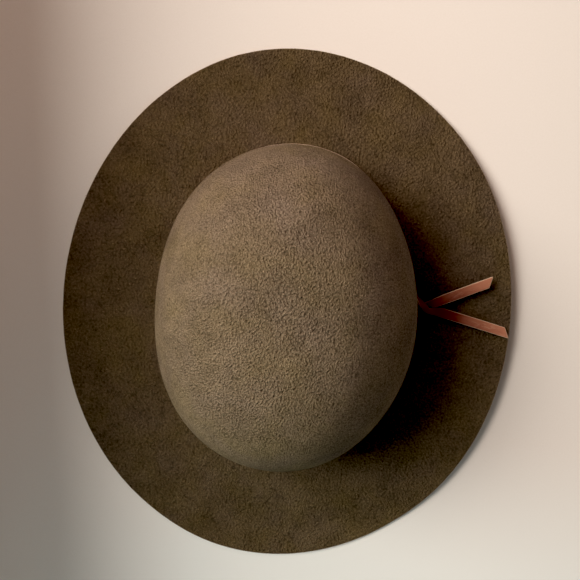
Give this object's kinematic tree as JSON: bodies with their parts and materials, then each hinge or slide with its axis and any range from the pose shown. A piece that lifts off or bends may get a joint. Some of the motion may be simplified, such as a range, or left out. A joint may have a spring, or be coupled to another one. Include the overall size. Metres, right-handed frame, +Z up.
{
  "type": "floppy hat",
  "caption": "Wide-brimmed wool felt hat with an open round crown, a raw cut brim edge and a thin leather lace tied round the foot of the crown.",
  "frame": {"origin": "on the surface that the hat rests on, under the middle of the brim's outline", "axes": "+Z up through the top of the crown, +Y from front to back along the hat's long axis, +X to the wearer's left, the side with the knot"},
  "size_m": [0.3022, 0.3507, 0.1165],
  "materials": {
    "felt": "matt olive-brown wool felt with a short mottled nap",
    "leather": "cognac leather with a soft sheen and paler cut edges"
  },
  "bodies": {
    "root": {"felt_body": "felt", "leather_lace": "leather"}
  },
  "joints": []
}
